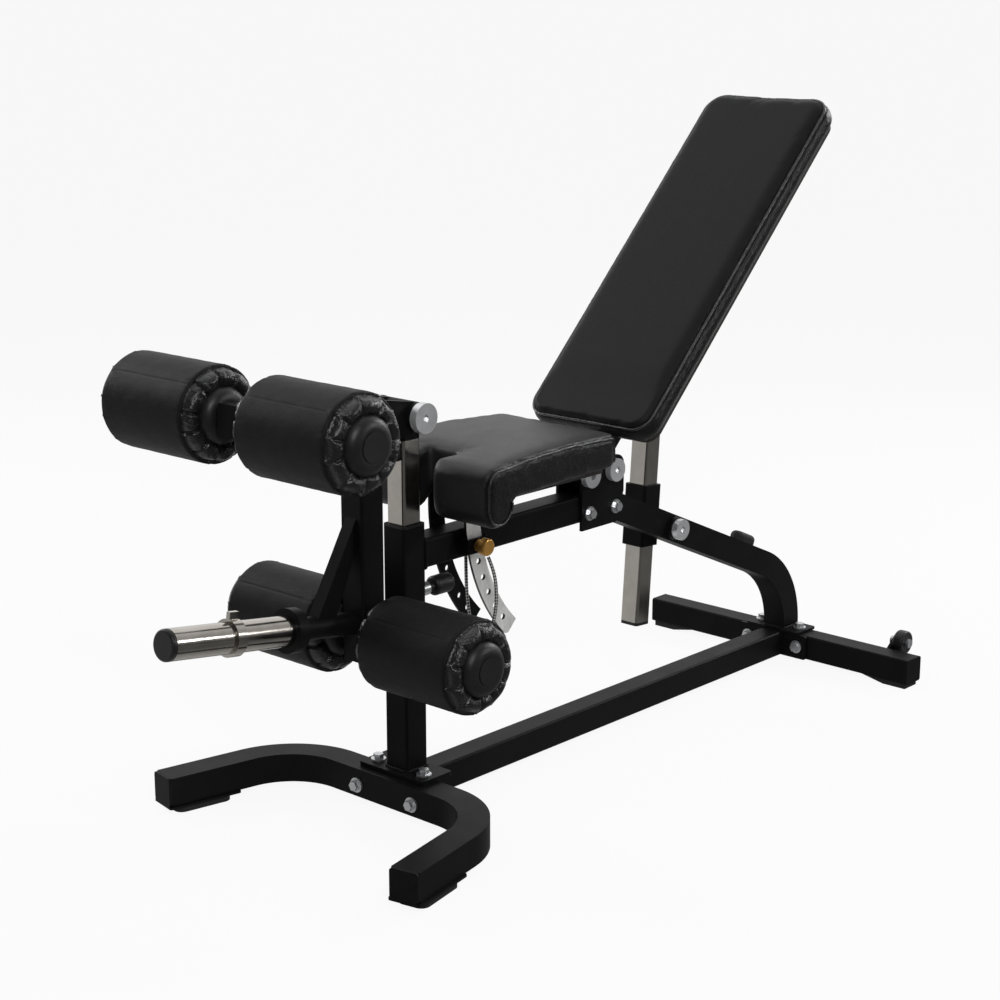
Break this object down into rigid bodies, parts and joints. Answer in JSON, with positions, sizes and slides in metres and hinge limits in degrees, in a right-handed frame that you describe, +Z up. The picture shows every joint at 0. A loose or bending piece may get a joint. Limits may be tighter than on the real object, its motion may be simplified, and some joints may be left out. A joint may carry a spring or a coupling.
{
  "type": "adjustable weight bench",
  "caption": "Padded weight bench with tilting seat, reclining backrest on a strut, and a swinging leg developer with foam rollers and a weight horn.",
  "frame": {"origin": "middle of the footprint on the floor", "axes": "+X from the leg developer to the backrest, +Z up, +Y to the strut's side"},
  "size_m": [1.69, 0.636, 1.1387],
  "materials": {
    "black_paint": "satin",
    "chrome": "polished",
    "zinc": "zinc plated",
    "brass": "machined",
    "black_vinyl": "grained, semi gloss",
    "black_plastic": "moulded",
    "rubber": "matte",
    "plywood": "black backing",
    "cord": "braided"
  },
  "bodies": {
    "frame": {"front_foot": "black_paint", "foot_end_caps": "black_plastic", "front_foot_plates": "black_paint", "front_upright": "black_paint", "upright_bushing": "black_plastic", "post_pin_housing": "zinc", "bottom_spine": "black_paint", "top_spine": "black_paint", "rear_leg": "black_paint", "rear_bumper": "rubber", "rear_foot": "black_paint", "rear_foot_pads": "rubber", "front_foot_pads": "rubber", "wheel_axle": "zinc", "bracket_plates": "black_paint", "frame_bolts": "zinc", "strip_guides": "black_paint", "seat_pin_bushing": "brass", "lanyard": "cord", "seat_pivot_bolt": "chrome", "back_pivot_bolt": "chrome"},
    "leg_post": {"leg_post": "chrome", "post_knuckle": "black_paint"},
    "leg_arm": {"swing_arm": "black_paint", "roller_arm": "black_paint", "arm_plates": "black_paint", "arm_pivot_bolt": "chrome", "arm_stop": "rubber", "roller_bars": "zinc", "horn_core": "black_paint", "horn_sleeve": "chrome", "horn_cap": "black_plastic", "horn_brace": "black_paint"},
    "horn_clip": {"horn_clip": "chrome"},
    "seat": {"seat_frame": "black_paint", "seat_strip_near": "zinc", "seat_strip_far": "black_paint", "seat_pad": "black_vinyl", "seat_board": "plywood"},
    "backrest": {"back_frame": "black_paint", "back_board": "plywood", "back_pad": "black_vinyl", "lug_bolt": "zinc"},
    "adjust_tube": {"adjust_tube": "chrome", "adjust_tube_cap": "black_plastic"},
    "adjust_sleeve": {"adjust_sleeve": "black_paint", "sleeve_shaft": "chrome", "sleeve_pin_housing": "zinc"},
    "post_pin": {"post_pin": "black_plastic"},
    "seat_pin": {"seat_pin": "brass"},
    "sleeve_pin": {"sleeve_pin": "black_plastic"},
    "wheel": {"wheel": "black_plastic"},
    "roller_upper_near": {"roller_upper_near": "black_vinyl", "roller_caps_upper_near": "black_plastic"},
    "roller_upper_far": {"roller_upper_far": "black_vinyl", "roller_caps_upper_far": "black_plastic"},
    "roller_lower_near": {"roller_lower_near": "black_vinyl", "roller_caps_lower_near": "black_plastic"},
    "roller_lower_far": {"roller_lower_far": "black_vinyl", "roller_caps_lower_far": "black_plastic"}
  },
  "joints": [
    {"name": "leg_post_slide", "type": "slide", "parent": "frame", "child": "leg_post", "axis": [0, 0, 1], "range_m": [-0.1, 0.05]},
    {"name": "leg_arm_swing", "type": "hinge", "parent": "leg_post", "child": "leg_arm", "pos_m": [-0.33901, 0, 0.679], "axis": [0, 1, 0], "range_deg": [0, 95]},
    {"name": "horn_clip_slide", "type": "slide", "parent": "leg_arm", "child": "horn_clip", "axis": [-0.9898, 0, 0.1426], "range_m": [-0.1, 0.11]},
    {"name": "seat_tilt", "type": "hinge", "parent": "frame", "child": "seat", "pos_m": [0.09949, 0, 0.503], "axis": [0, 1, 0], "range_deg": [0, 23.2]},
    {"name": "backrest_tilt", "type": "hinge", "parent": "frame", "child": "backrest", "pos_m": [0.16799, 0, 0.503], "axis": [0, -1, 0], "range_deg": [-45, 25]},
    {"name": "adjust_tube_turn", "type": "hinge", "parent": "backrest", "child": "adjust_tube", "pos_m": [0.37686, 0.052, 0.62243], "axis": [0, -1, 0], "range_deg": [-12.6, 22.6]},
    {"name": "adjust_sleeve_turn", "type": "hinge", "parent": "frame", "child": "adjust_sleeve", "pos_m": [0.35769, 0.052, 0.355], "axis": [0, -1, 0], "range_deg": [-22.6, 12.6]},
    {"name": "post_pin_pull", "type": "slide", "parent": "frame", "child": "post_pin", "axis": [1, 0, 0], "range_m": [0, 0.012], "stiffness_N_per_m": 600, "springref_m": -0.005},
    {"name": "seat_pin_pull", "type": "slide", "parent": "frame", "child": "seat_pin", "axis": [0, -1, 0], "range_m": [0, 0.012], "stiffness_N_per_m": 600, "springref_m": -0.005},
    {"name": "sleeve_pin_pull", "type": "slide", "parent": "adjust_sleeve", "child": "sleeve_pin", "axis": [0, 1, 0], "range_m": [0, 0.012], "stiffness_N_per_m": 600, "springref_m": -0.005},
    {"name": "roller_upper_near_spin", "type": "hinge", "parent": "leg_arm", "child": "roller_upper_near", "pos_m": [-0.67001, -0.153, 0.72], "axis": [0, 1, 0], "continuous": true},
    {"name": "roller_upper_far_spin", "type": "hinge", "parent": "leg_arm", "child": "roller_upper_far", "pos_m": [-0.67001, 0.153, 0.72], "axis": [0, 1, 0], "continuous": true},
    {"name": "roller_lower_near_spin", "type": "hinge", "parent": "leg_arm", "child": "roller_lower_near", "pos_m": [-0.43001, -0.153, 0.326], "axis": [0, 1, 0], "continuous": true},
    {"name": "roller_lower_far_spin", "type": "hinge", "parent": "leg_arm", "child": "roller_lower_far", "pos_m": [-0.43001, 0.153, 0.326], "axis": [0, 1, 0], "continuous": true},
    {"name": "wheel_spin", "type": "hinge", "parent": "frame", "child": "wheel", "pos_m": [0.82099, -0.256, 0.067], "axis": [0, 1, 0], "continuous": true}
  ],
  "couplings": [
    {"joint": "adjust_tube_turn", "follows": "backrest_tilt", "ratio": -0.5},
    {"joint": "adjust_sleeve_turn", "follows": "backrest_tilt", "ratio": 0.5}
  ]
}
